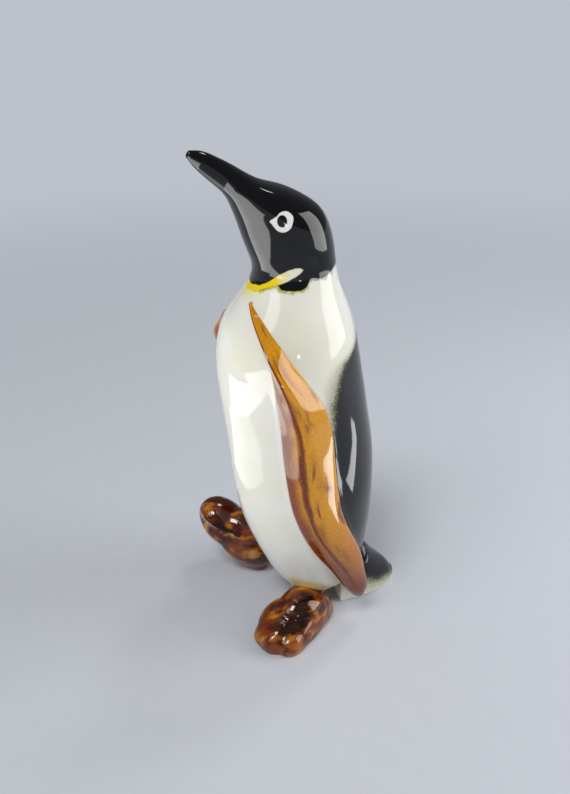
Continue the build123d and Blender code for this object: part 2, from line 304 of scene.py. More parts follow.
# %% The two flippers
TIP_BULGE, SHOULDER_BULGE = along(-0.2, 0, -0.5) * MM, along(0, 0, 0.2) * MM
RIGHT_SWING, RIGHT_DROP, RIGHT_LIFT = 9.0, 1.8, 1.5  # degrees, and millimetres down and out
RIGHT_SHRINK, SHRINK_ABOVE = 0.35, 0.84
SWING_PIVOT = -0.06  # share of the torso's depth


def flipper_rings(side):
    """The rings of one flipper from tip to shoulder."""
    rows = []
    for up, *place in FLIPPER_ROWS:
        row = flipper_row(side, up, *place)
        if side < 0 and up > SHRINK_ABOVE:
            row = row + (row.mean(0) - row) * RIGHT_SHRINK
        rows.append(row)
    rings = smooth_rows(rows, LIMB_STEP)[0]
    return np.concatenate([domed(rings[0], TIP_BULGE)[::-1], rings, domed(rings[-1], SHOULDER_BULGE)])


left_rings = flipper_rings(1)
pivot = at(TORSO_DEPTH * SWING_PIVOT, 0, 0)
swing = np.array(Matrix.Rotation(math.radians(RIGHT_SWING), 3, "Z"))
moved = flipper_rings(-1) + MM * along(0, -RIGHT_LIFT, -RIGHT_DROP)
right_rings = (moved - pivot) @ swing.T + pivot
print("flipper rings:", len(left_rings))

# %% [markdown]
# ## Feet
#
# A webbed foot is soft: an instep, a web and three toes run into each other. Separate ellipsoids
# are placed like pellets of clay, a voxel remesh fuses them, and a few rounds of smoothing thumb
# the seams over. The sole is then cut flat.

# %% Pellets of clay, fused and cut flat
CLAY_VOXEL, THUMB = 0.22, 0.5  # grain of the fused clay in millimetres, strength of each smoothing


def pellet(form, centre, half_sizes, turn):
    """One ellipsoid of clay, with half sizes forward, left and up, in millimetres."""
    forward, left, up = half_sizes
    place = Matrix.Translation(Vector(along(*centre)) * MM)
    place = place @ Matrix.Rotation(math.radians(turn), 4, "Z") @ Matrix.Diagonal((left, forward, up, 1))
    bmesh.ops.create_icosphere(form, subdivisions=4, radius=MM, matrix=place)


def fused(name, form, rounds):
    """The pellets as one smooth skin."""
    mesh = bpy.data.meshes.new(name)
    form.to_mesh(mesh)
    form.free()
    lump = bpy.data.objects.new(name, mesh)
    bpy.context.scene.collection.objects.link(lump)
    remesh = lump.modifiers.new("fuse", "REMESH")
    remesh.mode, remesh.voxel_size = "VOXEL", CLAY_VOXEL * MM
    thumb = lump.modifiers.new("thumb", "SMOOTH")
    thumb.factor, thumb.iterations = THUMB, rounds
    seen = lump.evaluated_get(bpy.context.evaluated_depsgraph_get())
    made = bpy.data.meshes.new_from_object(seen)
    bpy.data.objects.remove(lump)
    return made


def cut_flat(mesh):
    """Cuts a mesh level with the ground and closes the cut."""
    form = bmesh.new()
    form.from_mesh(mesh)
    everything = form.verts[:] + form.edges[:] + form.faces[:]
    cut = bmesh.ops.bisect_plane(form, geom=everything, plane_co=(0, 0, 0), plane_no=(0, 0, 1),
                                 clear_inner=True)
    edges = [e for e in cut["geom_cut"] if isinstance(e, bmesh.types.BMEdge)]
    bmesh.ops.triangle_fill(form, use_beauty=True, edges=edges)
    form.to_mesh(mesh)
    form.free()


print("clay is fused on a grain of", CLAY_VOXEL, "mm")

# %% [markdown]
# Each foot is modelled pointing forward from its ankle. A slow noise makes every lump a little
# different. Then the foot is splayed and lifted, and cut again where its heel meets the ground.

# %% The two feet
TOUCH_SEED, LUMP_SIZE, LUMP_PUSH = 3, 3.6, 0.10
noise.seed_set(TOUCH_SEED)  # the same hand each time
LEFT_PELLETS = (  # place forward, outward and up, half sizes, and turn outward in degrees
    ((1.2, 0.0, 2.0), (5.6, 3.9, 4.9), 0), ((4.3, 0.0, 1.0), (6.0, 4.3, 3.7), 3),
    ((-0.6, 0.2, 0.0), (5.0, 2.7, 3.8), 0), ((4.4, -1.7, 2.2), (4.4, 2.5, 3.0), 0),
    ((7.1, -1.1, 1.1), (3.1, 2.2, 2.3), -6), ((7.5, 0.9, 1.2), (2.9, 1.8, 2.4), 3),
    ((6.1, 2.8, 1.1), (3.0, 2.0, 2.3), 12), ((1.5, 2.8, 1.4), (5.6, 1.2, 2.4), 14))
RIGHT_PELLETS = (
    ((1.8, 0.0, 2.2), (6.6, 4.0, 4.75), 0), ((6.0, 0.0, 1.7), (5.6, 4.0, 3.3), 0),
    ((0.0, 0.0, 0.0), (5.5, 3.0, 4.1), 0))


def foot(name, side, pellets, rounds, ankle, splay, pitch, roll, rise):
    """A foot in its place, with its turns in degrees."""
    form = bmesh.new()
    for (forward, outward, up), half_sizes, turn in pellets:
        pellet(form, (forward, side * outward, up), half_sizes, side * turn)
    mesh = fused(name, form, rounds)
    own = Vector((side, 2, 5))  # so that the two feet differ
    for vertex in mesh.vertices:
        vertex.co += noise.noise_vector(vertex.co / (LUMP_SIZE * MM) + own) * (LUMP_PUSH * MM)
    cut_flat(mesh)
    pose = Matrix.Translation(Vector(at(ankle[0], side * ankle[1], rise)))
    for degrees, axis in ((splay, "Z"), (-pitch, "X"), (roll, "Y")):
        pose = pose @ Matrix.Rotation(math.radians(degrees), 4, axis)
    mesh.transform(pose)
    cut_flat(mesh)
    return finished(mesh)


left_foot = foot("left_foot_glazed", 1, LEFT_PELLETS, rounds=14, ankle=(-1.56, 6.102),
                 splay=25, pitch=0, roll=0, rise=0)
right_foot = foot("right_foot_glazed", -1, RIGHT_PELLETS, rounds=20, ankle=(3.6, 11.187),
                  splay=-31, pitch=44, roll=14, rise=3.4)
print("foot faces:", len(left_foot.polygons), len(right_foot.polygons))

# %% [markdown]
# ## The touch of the hand
#
# Nothing on a hand-finished casting is exact. The whole surface is pushed about by a tenth of a
# millimetre, in a noise about as slow as the reach of a thumb.

# %% Wandering rings, and the skins of the limbs
WANDER_SIZE, WANDER_PUSH = 7, 0.12  # in millimetres


def wandered(rings):
    """Rings moved by a slow, smooth noise."""
    flat = rings.reshape(-1, 3)
    push = np.array([noise.noise_vector(Vector(p) / (WANDER_SIZE * MM)) for p in flat])
    return (flat + push * WANDER_PUSH * MM).reshape(rings.shape)


left_rings, right_rings, body_rings = map(wandered, (left_rings, right_rings, body_rings))
limbs = {"left_flipper": skin("left_flipper_glazed", left_rings),
         "right_flipper": skin("right_flipper_glazed", right_rings),
         "left_foot": left_foot, "right_foot": right_foot, "tail": skin("tail_glazed", tail_rings)}
print("limbs:", {node: len(mesh.polygons) for node, mesh in limbs.items()})

# %% [markdown]
# Wet slip fills the corner where a limb is luted on, so the torso swells a little there. Towards
# the shoulder the swelling fades out.

# %% Soft corners on the torso
CORNER_REACH, CORNER_SWELL = 1.1, 0.32  # in millimetres
CORNER_FADE = np.array((41, 48)) * MM  # heights between which the swelling fades
limb_tree = tree_of(*(mesh for node, mesh in limbs.items() if node != "tail"))
swollen = 0
for ring, centre in zip(body_rings[:neck_mark], body_rings.mean(1)):
    fade = np.interp(centre[2], CORNER_FADE, (1, 0))
    if fade == 0:
        break
    for k, point in enumerate(ring):
        near, _, _, gap = limb_tree.find_nearest(Vector(point), CORNER_REACH * MM)
        if near is not None:
            out = (point - centre) / np.linalg.norm(point - centre)
            ring[k] = point + out * fade * CORNER_SWELL * MM * (1 - gap / (CORNER_REACH * MM)) ** 2
            swollen += 1
print("torso points in a soft corner:", swollen)

# %% [markdown]
# The torso and head are closed by smaller rings out of sight. Both take their shading from one
# unbroken skin, so that glaze hides the neck seam.

# %% Torso and head shaded as one
BEAK_BULGE = 0.35
UNDERSIDE = (  # the vent, then the flat base: share of the lowest ring, and lift in millimetres
    (0.26, 2.0), (0.26, 0.3), (0.30, 0.0), (0.55, 0.0), (0.85, 0.0))
TUCK_SHARE, TUCK_LIFT = 0.8, 0.6  # the ring that closes each piece inside the seam


def drawn_in(ring, share, lift):
    """A ring made smaller and moved up, to close a piece out of sight."""
    return ring.mean(0) + (ring - ring.mean(0)) * share + along(0, 0, lift) * MM


def normals_of(mesh):
    """The way that each point of a mesh faces."""
    normals = np.empty(len(mesh.vertices) * 3, np.float32)
    mesh.vertex_normals.foreach_get("vector", normals)
    return normals.reshape(-1, 3)


def shaded_as_one(name, rings, first, normals):
    """A skin that takes given normals from its first such ring on, and keeps its own elsewhere."""
    mesh = skin(name, rings)
    own = normals_of(mesh)
    own[first * AROUND:(first + len(normals)) * AROUND] = normals.reshape(-1, 3)
    mesh.normals_split_custom_set_from_vertices([tuple(n) for n in own])
    return mesh


tip = body_rings[-1].mean(0) - body_rings[-4].mean(0)
beak_end = domed(body_rings[-1], tip / np.linalg.norm(tip) * BEAK_BULGE * MM)
underside = [drawn_in(body_rings[0], share, lift) for share, lift in UNDERSIDE]
whole = np.concatenate([underside, body_rings, beak_end])
seam = neck_mark + len(UNDERSIDE)
unbroken = normals_of(skin("whole", whole))[:-2].reshape(whole.shape)
torso_rings = np.concatenate([whole[:seam + 1], [drawn_in(whole[seam], TUCK_SHARE, TUCK_LIFT)]])
head_rings = np.concatenate([[drawn_in(whole[seam], TUCK_SHARE, -TUCK_LIFT)], whole[seam:]])
meshes = dict(limbs)
meshes["torso"] = shaded_as_one("torso_glazed", torso_rings, 0, unbroken[:seam + 1])
meshes["head"] = shaded_as_one("head_glazed", head_rings, 1, unbroken[seam:])
print("torso and head rings:", len(torso_rings), len(head_rings))

# %% [markdown]
# Every piece rides on the one rigid body, and is shown in place of its plain solid.

# %% The pieces in their places
for node, mesh in meshes.items():
    piece = bpy.data.objects.new(node + "_glazed", mesh)
    bpy.context.scene.collection.objects.link(piece)
    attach(piece, "root")
    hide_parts(node)
print("pieces:", {node: len(mesh.polygons) for node, mesh in meshes.items()})

# %% [markdown]
# ## Where the painter's brush went
#
# The glaze colours follow no edge of the form: a cap, a collar stripe, an eye and a sprayed back.
# Each is drawn here as an outline, and every point of the mesh gets its distance to that outline,
# in millimetres, as an attribute. The material turns a distance into an edge, hard or sprayed.
# Distances stay sharp between the points of the mesh, which plain painted points wouldn't.

# %% The painted outlines
CAP_EDGE = (  # degrees round from the throat, and height in millimetres
    (-10, 100), (-10, 56.9), (0, 56.9), (20, 56.95), (26, 57.0), (30, 57.15), (37, 57.62), (45, 57.95),
    (50, 58.05), (52, 57.75), (55, 57.5), (62, 57.4), (74, 57.42), (82, 57.6), (87, 57.95),
    (89, 58.4), (91, 58.85), (96, 58.95), (102, 58.75), (108, 58.62), (114, 58.7), (121, 58.9), (133, 59.3),
    (144, 59.6), (160, 59.8), (190, 59.9), (190, 100))
STRIPE_EDGE = (
    (-10, 57.15), (4, 57.2), (20, 57.5), (32, 58.05), (44, 58.95), (53, 59.6), (62, 60.1), (71, 60.4),
    (78, 60.45), (82, 60.15), (79, 59.8), (72, 59.3), (63, 58.75), (55, 58.3), (46, 57.95), (37, 57.6),
    (28, 57.15), (20, 56.75), (-10, 56.3))
BACK_EDGE = (  # height, and degrees round from the front
    (0, 124), (4, 118), (8, 109), (12, 104), (21, 97), (32, 94), (36.5, 98), (39.7, 102), (42.3, 106),
    (44.6, 111), (46.0, 116), (47.2, 123), (47.9, 131), (48.5, 141), (49.4, 152), (50.8, 163),
    (53, 170), (57, 174))
EYE_CENTRE, EYE_FACING = (2.29, 5.29, 66.81), (0.17, 0.98, 0.12)
EYE_EDGE = (  # degrees round the eye from its back corner, and reach in millimetres
    (-13, 1.27), (22, 1.47), (66, 1.40), (110, 1.16), (138, 1.03), (160, 1.28), (177, 1.70), (192, 1.38),
    (215, 1.28), (269, 1.36), (315, 1.32), (347, 1.27))
print("points in the outlines:", len(CAP_EDGE), len(STRIPE_EDGE), len(BACK_EDGE), len(EYE_EDGE))

# %% [markdown]
# Distances are measured in a plane: to the nearest stretch of an outline, and positive inside it.

# %% Distances in a plane, and marks on a mesh
def edge_distance(points, outline):
    """Signed distance from points in a plane to a closed outline, positive inside."""
    outline = np.array(outline, float)
    least, inside = np.full(len(points), 1e9), np.zeros(len(points), bool)
    for a, b in zip(outline, np.roll(outline, -1, axis=0)):
        run = b - a
        share = np.clip(((points - a) @ run) / (run @ run), 0, 1)
        least = np.minimum(least, np.linalg.norm(points - a - share[:, None] * run, axis=1))
        with np.errstate(divide="ignore", invalid="ignore"):
            crossing = ((a[1] > points[:, 1]) != (b[1] > points[:, 1])) & (
                points[:, 0] < run[0] * (points[:, 1] - a[1]) / run[1] + a[0])
        inside ^= crossing
    return np.where(inside, least, -least)


def bird_millimetres(mesh):
    """The mesh's points as forward, left and up."""
    points = np.empty(len(mesh.vertices) * 3)
    mesh.vertices.foreach_get("co", points)
    points = points.reshape(-1, 3)
    left, behind, up = ((points - (middle_x, middle_y, 0)) / MM).T
    return np.stack([-behind, left, up], axis=1)


def write_marks(mesh, **marks):
    """Keeps an array of values on the points of a mesh under each name."""
    for name, values in marks.items():
        kept = mesh.attributes.new(name, "FLOAT", "POINT")
        kept.data.foreach_set("value", np.asarray(values, np.float32))


square = ((-1, -1), (1, -1), (1, 1), (-1, 1))
print("from the middle of a 2 mm square to its edge:", edge_distance(np.zeros((1, 2)), square)[0])

# %% [markdown]
# Round the torso and neck, a place is an angle from the front and a height. Rolled out flat at the
# neck's radius, the two make a plane in millimetres.

# %% The torso and neck rolled out flat
NECK_RADIUS = 5.7
shares = np.array(TORSO_ROWS)
levels = TORSO_BASE + TORSO_HEIGHT * shares[:, 0]


def round_angle(points):
    """Degrees round from the front of the torso or neck, the same on both sides, and the radius."""
    centre = np.interp(points[:, 2], levels, TORSO_DEPTH * shares[:, 1])
    depth = np.interp(points[:, 2], levels, TORSO_DEPTH * shares[:, 2] / 2)
    width = np.interp(points[:, 2], levels, TORSO_WIDTH * shares[:, 3] / 2)
    across, ahead = np.abs(points[:, 1]) / width, (points[:, 0] - centre) / depth
    return np.degrees(np.arctan2(across, ahead)), (depth + width) / 2


def on_neck(degrees, height):
    """Angle and height rolled out flat, in millimetres."""
    return np.stack([np.radians(degrees) * NECK_RADIUS, height], axis=1)


print("heights of the torso's ovals in mm:", levels.round(1))

# %% [markdown]
# The eye is drawn in a plane of its own on the side of the head. One drawing serves both eyes,
# because the distance to the left is taken without its sign.

# %% The eye's own plane
EYE_MIDDLE = (0.1, -0.08)  # back and up from the centre to where the outline's angles turn
PUPIL_HALF, PUPIL_SCALE = (0.65, 0.79), 0.7
EYE_DEPTH, FAR = 2.5, -9.0  # how deep the drawing goes, and a distance that no paint reaches
facing = np.array(EYE_FACING) / np.linalg.norm(EYE_FACING)
backward = np.array((-facing[1], facing[0], 0)) / math.hypot(facing[0], facing[1])
upward = np.cross(facing, backward)
upward = upward * np.sign(upward[2])


def eye_and_pupil(points):
    """Distances to the edge of the eye and to the edge of the pupil."""
    away = np.stack([points[:, 0], np.abs(points[:, 1]), points[:, 2]], axis=1) - EYE_CENTRE
    back, up = away @ backward, away @ upward
    a, b = back - EYE_MIDDLE[0], up - EYE_MIDDLE[1]
    edge = np.interp(np.degrees(np.arctan2(b, a)), *np.array(EYE_EDGE).T, period=360)
    pupil = PUPIL_SCALE * (1 - np.hypot(back / PUPIL_HALF[0], up / PUPIL_HALF[1]))
    near = np.abs(away @ facing) < EYE_DEPTH
    return np.where(near, edge - np.hypot(a, b), FAR), np.where(near, pupil, FAR)


print("the eye faces", facing.round(2), "forward, left and up")

# %% [markdown]
# Every point of the torso and head now gets its marks. One is its distance to the feet, where
# yellow glaze gathers in the joint.

# %% Marks on the torso and head
foot_tree = tree_of(left_foot, right_foot)
for node in ("torso", "head"):
    points = bird_millimetres(meshes[node])
    angle, radius = round_angle(points)
    height = points[:, 2]
    flat = on_neck(angle, height)
    cap, stripe = (edge_distance(flat, on_neck(*np.array(e).T)) for e in (CAP_EDGE, STRIPE_EDGE))
    back = np.radians(angle - np.interp(height, *np.array(BACK_EDGE).T)) * radius
    eye, pupil = eye_and_pupil(points)
    joint = [foot_tree.find_nearest(v.co)[3] / MM for v in meshes[node].vertices]
    write_marks(meshes[node], cap=cap, stripe=stripe, back=back, angle=angle, height=height,
                eye=eye, pupil=pupil, joint=joint)
    print(node, "points under the cap:", int((cap > 0).sum()))

# %% [markdown]
# The tail is black above and stays white along the ground. On a flipper, each point keeps how far
# it is from the tip and how far it lies across.

# %% Marks on the tail and flippers
TAIL_EDGE = (  # share of the way back, and the height in millimetres from which the tail is black
    (0, 3.9), (0.35, 3.7), (0.65, 2.7), (0.9, 1.7), (1.0, 1.0))
points = bird_millimetres(meshes["tail"])
height = points[:, 2]
far, rear = np.full(len(points), FAR), np.full(len(points), 180.0)
black_from = np.interp((TAIL_ROOT - points[:, 0]) / TAIL_LENGTH, *np.array(TAIL_EDGE).T)
write_marks(meshes["tail"], cap=far, stripe=far, back=height - black_from, angle=rear, height=height,
            eye=far, pupil=far, joint=-far)
for node, rings in (("left_flipper", left_rings), ("right_flipper", right_rings)):
    steps = np.linalg.norm(np.diff(rings.mean(1), axis=0), axis=1)
    run = np.concatenate([[0], np.cumsum(steps)]) / MM
    write_marks(meshes[node], run=np.concatenate([np.repeat(run, AROUND), [0, run[-1]]]),
                across=np.concatenate([np.tile(np.cos(TURN[:, 0]), len(rings)), [0, 0]]))
    print(node, "run in mm:", round(run[-1], 1))

# %% [markdown]
# A near-black patch of painted dark reflection lies on each foot. A line marks where it lies,
# and every point of the foot keeps its distance to that line.

# %% Painted dark reflections on the feet
DARK_REFLECTION_LINES = {  # from and to: forward, left and up; and how wide the painted dark reflection is
    "left_foot": ((0.0, 9.2, 5.8), (4.2, 11.2, 3.5), 1.0),
    "right_foot": ((8.6, -9.8, 10.2), (5.6, -7.9, 9.0), 0.5)}
for node, (start, end, width) in DARK_REFLECTION_LINES.items():
    points = bird_millimetres(meshes[node])
    start, run = np.array(start), np.array(end) - np.array(start)
    share = np.clip((points - start) @ run / (run @ run), 0, 1)
    pool = np.linalg.norm(points - start - share[:, None] * run, axis=1) / width
    write_marks(meshes[node], pool=pool)
    print(node, "points within 1 mm of the pool's line:", int((pool * width < 1).sum()))

# %% [markdown]
# ## Colour and nodes
#
# Colours are written as sRGB hex, the way a painter reads them off a chart, and turned to the
# linear values that a renderer counts in. One small function adds any node, with its settings
# and its inputs.

# %% Helpers for materials
def linear(hex_colour):
    """An sRGB hex colour as linear red, green, blue and alpha."""
    values = [int(hex_colour[i:i + 2], 16) / 255 for i in (1, 3, 5)]
    return tuple(v / 12.92 if v <= 0.04045 else ((v + 0.055) / 1.055) ** 2.4 for v in values) + (1.0,)


def add(tree, kind, inputs=None, **settings):
    """Adds a node with its settings; each input takes a value, or a socket to link from.

    A mix of colours has its share at input 0, its colours at 6 and 7, and its result at output 2.
    """
    made = tree.nodes.new(kind)
    for name, value in settings.items():
        setattr(made, name, value)
    for name, value in (inputs or {}).items():
        if isinstance(value, bpy.types.NodeSocket):
            tree.links.new(value, made.inputs[name])
        else:
            made.inputs[name].default_value = value
    return made.outputs


def material(name):
    """A new material with an empty tree."""
    made = bpy.data.materials.new(name)
    made.use_nodes = True
    made.node_tree.nodes.clear()
    return made, made.node_tree


print("a mid grey of #808080 is", round(linear("#808080")[0], 3), "in linear light")

# %% [markdown]
# Three steps come back in every glaze. A distance wanders to and fro with an irregular pattern.
# Paints go over a ground, each where its distance goes from where it starts to where it covers.
# Last comes the glaze itself: smooth glass, whose sharp reflections make the clay look wet.

# %% Wandering edges, layers of paint, and glaze
def wander(tree, marks, wanders):
    """New distances: each is another distance, moved by a pattern as far as its reach says."""
    for name, mark, pattern, reach in wanders:
        away = add(tree, "ShaderNodeMath", {0: marks[pattern], 1: 0.5}, operation="SUBTRACT")[0]
        marks[name] = add(tree, "ShaderNodeMath", {0: away, 1: reach, 2: marks[mark]},
                          operation="MULTIPLY_ADD")[0]


def painted_over(tree, marks, colour, layers):
    """The colour after all the layers: distance, start, cover, strength, and paint as hex or socket."""
    for mark, start, cover, strength, paint in layers:
        amount = add(tree, "ShaderNodeMapRange",
                     {"Value": marks[mark], "From Min": start, "From Max": cover, "To Max": strength},
                     interpolation_type="SMOOTHSTEP")[0]
        paint = linear(paint) if isinstance(paint, str) else paint
        colour = add(tree, "ShaderNodeMix", {0: amount, 6: colour, 7: paint}, data_type="RGBA")[2]
    return colour


def glazed(made, nodes, colour, roughness, ior, lumps, strength, depth):
    """Closes a material with glass over its colour, and puts it on some pieces."""
    tree = made.node_tree
    bump = add(tree, "ShaderNodeBump",
               {"Height": lumps, "Strength": strength, "Distance": depth * MM})[0]
    shader = add(tree, "ShaderNodeBsdfPrincipled",
                 {"Base Color": colour, "Roughness": roughness, "IOR": ior, "Normal": bump})[0]
    add(tree, "ShaderNodeOutputMaterial", {"Surface": shader})
    for node in nodes:
        meshes[node].materials.append(made)
    print(made.name, "has", len(tree.nodes), "nodes and is on", nodes)


# %% [markdown]
# ## Painted earthenware under clear glaze
#
# The torso, head and tail are white earthenware, painted and dipped in clear glaze. The first cell
# reads the outlines' distances, and makes the small irregularities of a brush and of a spray.

# %% The painted body: distances and irregularities
painted, tree = material("painted_earthenware_clear_glaze")
where = add(tree, "ShaderNodeTexCoord")["Object"]
marks = {name: add(tree, "ShaderNodeAttribute", attribute_name=name)["Fac"]
         for name in ("cap", "stripe", "back", "angle", "height", "eye", "pupil", "joint")}
GRAINS = {"cloud": 9.0, "drift": 4.0, "ripple": 2.5, "brush": 0.9, "spray": 0.22}  # in millimetres
for name, size in GRAINS.items():
    marks[name] = add(tree, "ShaderNodeTexNoise",
                      {"Vector": where, "Scale": 1 / (size * MM), "Detail": 2.0})["Fac"]
wander(tree, marks, (  # new distance, distance, pattern, and reach in millimetres or degrees
    ("back_drift", "back", "drift", 1.6), ("back_spray", "back_drift", "spray", 2.2),
    ("fringe", "cap", "brush", 1.2), ("cap_brush", "cap", "brush", 0.3),
    ("stripe_brush", "stripe", "brush", 0.2), ("throat", "angle", "drift", 30.0)))
print("distances:", sorted(marks))

# %% [markdown]
# Some paints aren't one colour. The white is cloudy, the black varies a little with its thickness,
# the collar fades from yellow to cream, and the fringe of the cap turns from green to grey. A thin
# yellow wash lies at the throat, high up and towards the front.

# %% The painted body: paints that vary
PAINTS = {  # what drives it, from, to, and the two colours
    "white": ("cloud", 0.35, 0.7, "#f1efe8", "#eae9d4"),
    "black": ("cloud", 0.3, 0.7, "#020203", "#05060a"),
    "collar": ("angle", 46, 66, "#efd205", "#eeebd2"),
    "rim": ("angle", 84, 94, "#a9ab30", "#a4a7a6")}
paints = {}
for name, (mark, low, high, first, second) in PAINTS.items():
    share = add(tree, "ShaderNodeMapRange",
                {"Value": marks[mark], "From Min": low, "From Max": high})[0]
    paints[name] = add(tree, "ShaderNodeMix", {0: share, 6: linear(first), 7: linear(second)},
                       data_type="RGBA")[2]
WASH = (("height", 54.6, 57.2), ("throat", 44, 8))  # millimetres up, and degrees from the front
high_up, in_front = (add(tree, "ShaderNodeMapRange",
                         {"Value": marks[mark], "From Min": low, "From Max": high})[0]
                     for mark, low, high in WASH)
marks["wash"] = add(tree, "ShaderNodeMath", {0: high_up, 1: in_front}, operation="MULTIPLY")[0]
print("paints:", sorted(paints))

# %% [markdown]
# Now the paints go on in the order in which a painter lays them: washes and sprays first, then the
# cap, the collar and the eye. The glaze over them is clear, with an IOR of about 1.5. It makes the
# black look deep and the white look like milk.

# %% The painted body: layers and glaze
colour = painted_over(tree, marks, paints["white"], (
    ("joint", 2.6, 0.1, 0.8, "#dcb840"), ("wash", 0.0, 1.0, 1.0, "#ecdf6c"),
    ("back_spray", -3.6, -0.5, 0.55, "#7d784c"), ("back_spray", -1.3, 0.3, 1.0, "#4d4b26"),
    ("back_spray", -0.35, 0.65, 1.0, paints["black"]), ("fringe", -0.5, -0.05, 0.9, paints["rim"]),
    ("cap_brush", -0.06, 0.06, 1.0, paints["black"]),
    ("stripe_brush", -0.1, 0.1, 1.0, paints["collar"]),
    ("eye", -0.06, 0.06, 1.0, "#f0efe9"), ("pupil", -0.06, 0.06, 1.0, "#030303")))
rough = add(tree, "ShaderNodeMapRange", {"Value": marks["cloud"], "From Min": 0.3, "From Max": 0.7,
                                         "To Min": 0.04, "To Max": 0.07})[0]
glazed(painted, ("torso", "head", "tail"), colour, rough, ior=1.5,
       lumps=marks["ripple"], strength=0.15, depth=0.06)

# %% [markdown]
# ## Brown glaze on the flippers
#
# The flippers are brushed with an iron-brown glaze that runs down as it melts: golden where it is
# thin, red-brown where it gathers. The streaks follow the flipper, so the pattern is laid along
# its own run and not along the room.

# %% The flippers: where the glaze ran
streaked, tree = material("iron_brown_glaze_streaked")
where = add(tree, "ShaderNodeTexCoord")["Object"]
marks = {name: add(tree, "ShaderNodeAttribute", attribute_name=name)["Fac"]
         for name in ("run", "across")}
lie = add(tree, "ShaderNodeCombineXYZ", {"X": marks["across"], "Y": marks["run"]})[0]
RUNS = {  # scale across and along, slant in radians, and swirl
    "streaks": (1.0, 0.10, 0.05, 0.5), "threads": (2.2, 0.13, 0.22, 0.8)}
for name, (wide, long, slant, swirl) in RUNS.items():
    laid = add(tree, "ShaderNodeMapping",
               {"Vector": lie, "Scale": (wide, long, 1.0), "Rotation": (0, 0, slant)})[0]
    marks[name] = add(tree, "ShaderNodeTexNoise",
                      {"Vector": laid, "Scale": 1.0, "Detail": 2.0, "Distortion": swirl})["Fac"]
GRAINS = {"grain": 0.28, "ripple": 2.2}  # in millimetres
for name, size in GRAINS.items():
    marks[name] = add(tree, "ShaderNodeTexNoise",
                      {"Vector": where, "Scale": 1 / (size * MM), "Detail": 2.0})["Fac"]
wander(tree, marks, (
    ("low_run", "run", "streaks", 14.0), ("fine_run", "run", "grain", 5.0),
    ("rim", "across", "streaks", 0.8), ("vein_line", "across", "streaks", 0.5)))
VEIN_PLACE = -0.40  # across, where -1 is the front edge
middle = add(tree, "ShaderNodeMath", {0: marks["vein_line"], 1: -VEIN_PLACE}, operation="ADD")[0]
marks["vein"] = add(tree, "ShaderNodeMath", {0: middle}, operation="ABSOLUTE")[0]
print("flipper patterns:", sorted(marks))

# %% [markdown]
# The layers run from the golden ground to the dark vein along the front third and the dark tip. Fine
# grain, where small crystals float in the glaze, shows most near the tip.

# %% The flippers: layers and glaze
colour = painted_over(tree, marks, linear("#d8940a"), (
    ("low_run", 25.0, 9.0, 0.9, "#ae6312"), ("low_run", 13.0, 3.0, 0.85, "#80380f"),
    ("streaks", 0.50, 0.68, 0.9, "#8c3f08"), ("threads", 0.58, 0.70, 0.8, "#6b2408"),
    ("rim", -0.42, -0.85, 0.95, "#7a2c04"), ("vein", 0.17, 0.04, 0.95, "#722000"),
    ("grain", 0.50, 0.75, 0.22, "#d2a05c"), ("grain", 0.50, 0.28, 0.25, "#5e2408"),
    ("fine_run", 8.0, 1.0, 0.95, "#722406")))
rough = add(tree, "ShaderNodeMapRange", {"Value": marks["grain"], "From Min": 0.3, "From Max": 0.7,
                                         "To Min": 0.04, "To Max": 0.09})[0]
glazed(streaked, ("left_flipper", "right_flipper"), colour, rough, ior=1.55,
       lumps=marks["ripple"], strength=0.2, depth=0.06)

# %% [markdown]
# ## Brown glaze on the feet
#
# The same glaze is thicker on the feet: dark red-brown, breaking to orange and gold in long dabs on
# the raised parts. A near-black patch along a line on each foot is painted dark reflection.

# %% The feet: dabs and glaze
mottled, tree = material("iron_brown_glaze_mottled")
where = add(tree, "ShaderNodeTexCoord")["Object"]
marks = {"pool": add(tree, "ShaderNodeAttribute", attribute_name="pool")["Fac"]}
DAB_TURN = math.radians(-35)
DABS = {  # size in millimetres, stretch and swirl
    "broad": (4.4, 0.5, 0.2), "small": (1.5, 0.38, 0.15), "lump": (1.9, 1.0, 0.0)}
for name, (size, stretch, swirl) in DABS.items():
    laid = add(tree, "ShaderNodeMapping", {"Vector": where, "Rotation": (0, 0, DAB_TURN),
                                           "Scale": (1.0, stretch, 0.8)})[0]
    marks[name] = add(tree, "ShaderNodeTexNoise", {"Vector": laid, "Scale": 1 / (size * MM),
                                                   "Detail": 2.0, "Distortion": swirl})["Fac"]
wander(tree, marks, (("ragged_pool", "pool", "small", 5.0),))
colour = painted_over(tree, marks, linear("#481305"), (
    ("broad", 0.40, 0.56, 1.0, "#7d360d"), ("small", 0.50, 0.66, 0.8, "#bf7a20"),
    ("broad", 0.58, 0.72, 0.6, "#c28028"), ("small", 0.47, 0.33, 0.85, "#330c03"),
    # near black along each foot's line: a painted dark reflection
    ("ragged_pool", 2.4, 0.8, 0.9, "#140502"), ("small", 0.63, 0.79, 0.55, "#d8ac5c")))
glazed(mottled, ("left_foot", "right_foot"), colour, 0.06, ior=1.55,
       lumps=marks["lump"], strength=0.25, depth=0.1)

# %% [markdown]
# ## Luting slip
#
# The films of slip lie inside the seams. They are plain fired clay: matt and slightly grainy.

